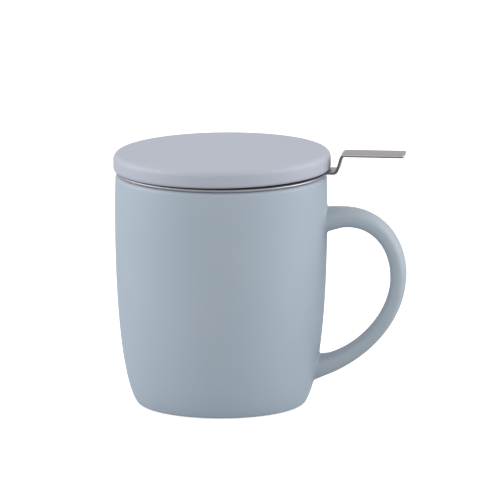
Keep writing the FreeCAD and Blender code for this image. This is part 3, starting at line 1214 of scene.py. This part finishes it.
    def dress(self, groups: Groups) -> list[Object]:
        """Adds the rim, the strap and the basket, in their brushed sheets.

        Args:
            groups: The shared node groups, by name.

        Returns:
            The pieces.
        """
        # Painted shade and painted reflection: the rim's steel is a darker copy of the strip's, for the dark
        # that its front reflects.
        rolled = SteelFinish(
            "rim_steel_painted_shade", Grain.ROUND_Z, colour=(0.49, 0.47, 0.50, 1.0), roughness=0.34
        ).make(groups)
        # Painted shade: the strip's edges are painted dark below the middle of the grip's thickness.
        strip = SteelFinish(
            "brushed_strip_steel",
            Grain.ALONG_X,
            edge_place=self.strap_width / 2,
            edge_top=self.strap_line()[-1].z + self.strap_thickness / 2,
        ).make(groups)
        basket = SteelFinish(
            "basket_sheet_steel", Grain.ROUND_Z, colour=(0.53, 0.515, 0.525, 1.0), roughness=0.33
        ).make(groups)
        return [
            add_piece(self.rim(), "pressed_rim", "infuser", "infuser_rim", rolled),
            add_piece(self.strap(), "lifting_strap", "infuser", "infuser_strap", strip),
            add_piece(self.wall(), "basket_wall", "infuser", "infuser_wall", basket),
            add_piece(self.pan(), "basket_pan", "infuser", "infuser_base", basket),
        ]


@dataclass
class Lid:
    """The disc lid, which lies on the flange at -X and on the strap at +X.

    The glaze is thin from thin_edge under the top up, and the lowest bare_foot of the ring has none.
    """

    infuser: Infuser
    radius: float = 44.5 * MM
    thickness: float = 7.4 * MM
    top_round: float = 2.8 * MM
    edge_round: float = 1.3 * MM
    ring_depth: float = 4.5 * MM
    ring_width: float = 3.0 * MM
    ring_round: float = 0.9 * MM
    recess: float = 1.5 * MM
    offset: float = 0.4 * MM
    play: float = 1.4 * MM
    rest_gap: float = 0.1 * MM
    thin_edge: float = 0.6 * MM
    bare_foot: float = 0.3 * MM
    facets: int = 256

    @property
    def ring_radius(self) -> float:
        """The outer radius of the ring that drops into the neck."""
        steel = self.infuser
        return steel.neck_inner - steel.weld_gap - steel.strap_thickness - self.offset - self.play

    @property
    def tilt(self) -> float:
        """The lean that the strap gives the lid.

        Returns:
            The angle, in radians.
        """
        steel = self.infuser
        low_seat = steel.flange_radius - steel.sheet
        high_seat = math.sqrt(steel.bend.x**2 - (steel.strap_width / 2) ** 2)
        return math.atan((steel.weld_gap + steel.strap_thickness) / (low_seat + high_seat))

    @property
    def seat(self) -> Vector:
        """Where the middle of the lid's under side lies."""
        low_seat = self.infuser.flange_radius - self.infuser.sheet
        return at(self.offset, self.infuser.flange_top + self.rest_gap + low_seat * math.tan(self.tilt))

    def disc(self) -> BMesh:
        """The lid, turned flat and then leant into its place.

        Returns:
            A closed mesh.
        """
        inner = self.ring_radius - self.ring_width
        level = self.ring_round - self.ring_depth
        outline = [at(0, self.recess), at(inner - self.ring_round, self.recess)]
        outline += arc(at(inner - self.ring_round, self.recess - self.ring_round), self.ring_round, 90, 0)[1:]
        outline += arc(at(inner + self.ring_round, level), self.ring_round, 180, 270)
        outline += arc(at(self.ring_radius - self.ring_round, level), self.ring_round, 270, 360)
        outline += [at(self.ring_radius, 0)]
        outline += arc(at(self.radius - self.edge_round, self.edge_round), self.edge_round, -90, 0)
        top = at(self.radius - self.top_round, self.thickness - self.top_round)
        outline += arc(top, self.top_round, 0, 90, steps=12)
        outline += [at(0, self.thickness)]
        bm = lathe(outline, self.facets, closed=False)
        place = Matrix.Translation(self.seat) @ Matrix.Rotation(-self.tilt, 4, "Y")
        bmesh.ops.transform(bm, matrix=place, verts=bm.verts)
        return bm

    def dress(self, groups: Groups) -> list[Object]:
        """Adds the lid, in a glaze a little greyer than the mug's.

        Args:
            groups: The shared node groups, by name.

        Returns:
            The piece, in a list.
        """
        glaze = GlazeFinish(
            "powder_blue_lid_glaze",
            colour=(0.462, 0.496, 0.575, 1.0),
            cloud=(0.447, 0.482, 0.561, 1.0),
            thin_colour=(0.44, 0.492, 0.584, 1.0),
            thin_height=self.thickness - self.thin_edge,
            bare_height=self.bare_foot - self.ring_depth,
            tilt=-self.tilt,
            seat=self.seat,
        )
        return [add_piece(self.disc(), "disc_lid", "lid", "mug_lid", glaze.make(groups))]


def view_from(azimuth: float, elevation: float) -> Vector:
    """The direction to a viewer, so many degrees from the front towards the handle and above the horizon."""
    turn, rise = math.radians(azimuth), math.radians(elevation)
    return Vector((math.sin(turn) * math.cos(rise), -math.cos(turn) * math.cos(rise), math.sin(rise)))


def look_at(thing: Object, target: Vector, back: Vector, distance: float) -> None:
    """Stands a camera or a light back from its target, and turns it to face there."""
    thing.location = target + back * distance
    thing.rotation_euler = (-back).to_track_quat("-Z", "Y").to_euler()


@dataclass(frozen=True)
class SoftBox:
    """A large studio light that faces the mug."""

    name: str
    azimuth: float
    power: float
    elevation: float = 22.0
    distance: float = 1.3
    width: float = 1.0
    height: float = 1.0

    def hang(self, target: Vector) -> None:
        """Adds the light to the scene.

        Args:
            target: What it is aimed at.
        """
        light = bpy.data.lights.new(self.name, "AREA")
        light.shape = "RECTANGLE"
        light.size = self.width
        light.size_y = self.height
        light.energy = self.power
        look_at(show(self.name, light), target, view_from(self.azimuth, self.elevation), self.distance)


@dataclass
class Studio:
    """The floor, the lights and a camera at the photograph's angle.

    The spans are stretches of a direction's X, Y or Z, over which the surround changes.
    """

    picture: int = 500
    sensor: float = 36.0
    camera_distance: float = 3.0
    elevation: float = 11.42
    azimuth: float = 6.0
    pixels_per_metre: float = 2438.5
    axis_pixel: tuple[float, float] = (220.71, 280.94)
    axis_height: float = 50.0 * MM
    floor_size: float = 6.0
    floor_gap: float = 0.05 * MM
    paper: Colour = (0.9, 0.9, 0.9, 1.0)
    paper_glow: float = 0.5
    dull_floor: Colour = (0.22, 0.23, 0.24, 1.0)
    bounce_tint: Colour = (0.97, 1.0, 1.04, 1.0)
    bounce_glow: float = 0.3
    surround: float = 0.57
    front_middle: float = 0.88
    front_sides: float = 1.24
    side_span: tuple[float, float] = (0.15, 0.8)
    depth_span: tuple[float, float] = (-1.0, 0.2)
    tint_span: tuple[float, float] = (-0.6, 0.8)
    overhead_tint: Colour = (1.05, 1.0, 0.97, 1.0)
    low_tint: Colour = (0.98, 1.0, 1.02, 1.0)
    boxes: tuple[SoftBox, ...] = (
        SoftBox("left_box", azimuth=-91.0, power=8.9),
        SoftBox("right_box", azimuth=99.0, power=9.4),
    )

    def camera(self) -> None:
        """Adds the camera, placed so that the mug falls where it does in the photograph."""
        turn = math.radians(self.azimuth)
        back = view_from(self.azimuth, self.elevation)
        right = Vector((math.cos(turn), math.sin(turn), 0))
        up = back.cross(right)
        middle = (self.picture - 1) / 2
        aim = at(0, self.axis_height)
        aim += right * ((middle - self.axis_pixel[0]) / self.pixels_per_metre)
        aim += up * ((self.axis_pixel[1] - middle) / self.pixels_per_metre)
        lens = bpy.data.cameras.new("camera")
        lens.sensor_width = self.sensor
        lens.lens = self.pixels_per_metre * self.camera_distance * self.sensor / self.picture
        camera = show("camera", lens)
        look_at(camera, aim, back, self.camera_distance)
        bpy.context.scene.camera = camera

    def floor(self) -> None:
        """Adds the floor, a hair under the mug's foot: white paper to the camera, and duller to the mug."""
        bm = bmesh.new()
        below = Matrix.Translation(at(0, -self.floor_gap))
        bmesh.ops.create_grid(bm, x_segments=1, y_segments=1, size=self.floor_size / 2, matrix=below)
        material, shader = new_material("studio_white")
        seen = shader.add("LightPath").outputs["Is Camera Ray"]
        paper = shader.add("BsdfDiffuse", {"Color": self.paper})
        glow = shader.add("Emission", {"Color": WHITE, "Strength": self.paper_glow})
        white = shader.add("AddShader", {0: paper.outputs[0], 1: glow.outputs[0]})
        matt = shader.add("BsdfDiffuse", {"Color": self.dull_floor})
        bounce = shader.add("Emission", {"Color": self.bounce_tint, "Strength": self.bounce_glow})
        dull = shader.add("AddShader", {0: matt.outputs[0], 1: bounce.outputs[0]})
        both = shader.add("MixShader", {0: seen, 1: dull.outputs[0], 2: white.outputs[0]})
        shader.add("OutputMaterial", {0: both.outputs[0]})
        mesh = new_mesh(bm, "floor")
        mesh.materials.append(material)
        show("floor", mesh)

    def light(self) -> None:
        """Adds the white surround, brighter before the mug and to its sides, and the soft boxes."""
        world = bpy.data.worlds.new("studio")
        world.use_nodes = True
        shader = Shader(world.node_tree)
        seen = shader.add("LightPath").outputs["Is Camera Ray"]
        direction = shader.add("TexCoord").outputs["Generated"]
        across, behind, above = shader.add("SeparateXYZ", {0: direction}).outputs
        sideways = shader.math("ABSOLUTE", across)
        front = shader.ramp(sideways, *self.side_span, self.front_middle, self.front_sides)
        strength = shader.ramp(behind, *self.depth_span, front, self.surround)
        tint = shader.mix(shader.ramp(above, *self.tint_span, 0.0, 1.0), self.low_tint, self.overhead_tint)
        dim = shader.add("Background", {"Color": tint, "Strength": strength})
        white = shader.add("Background", {"Color": WHITE, "Strength": 1.0})
        both = shader.add("MixShader", {0: seen, 1: dim.outputs[0], 2: white.outputs[0]})
        shader.add("OutputWorld", {0: both.outputs[0]})
        bpy.context.scene.world = world
        bpy.context.scene.view_settings.view_transform = "Standard"
        for box in self.boxes:
            box.hang(at(0, self.axis_height))

    def build(self) -> None:
        """Adds everything that isn't part of the mug."""
        self.camera()
        self.floor()
        self.light()


def main() -> None:
    """Builds every piece and the studio, and logs each piece's faces and finish."""
    logging.basicConfig(level=logging.INFO, format="%(name)s: %(message)s")
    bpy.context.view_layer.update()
    groups = {tree.name: tree for tree in (UnevenGlaze().make(), BrushedGrain().make())}
    mug = Mug(height=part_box("mug_body")[1].z)
    infuser = Infuser(flange_top=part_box("infuser_rim")[1].z)
    for assembly in (mug, infuser, Lid(infuser)):
        for piece in assembly.dress(groups):
            log.info("%s: %d faces in %s", piece.name, len(piece.data.polygons), piece.active_material.name)
    Studio().build()


if __name__ == "__main__":
    main()
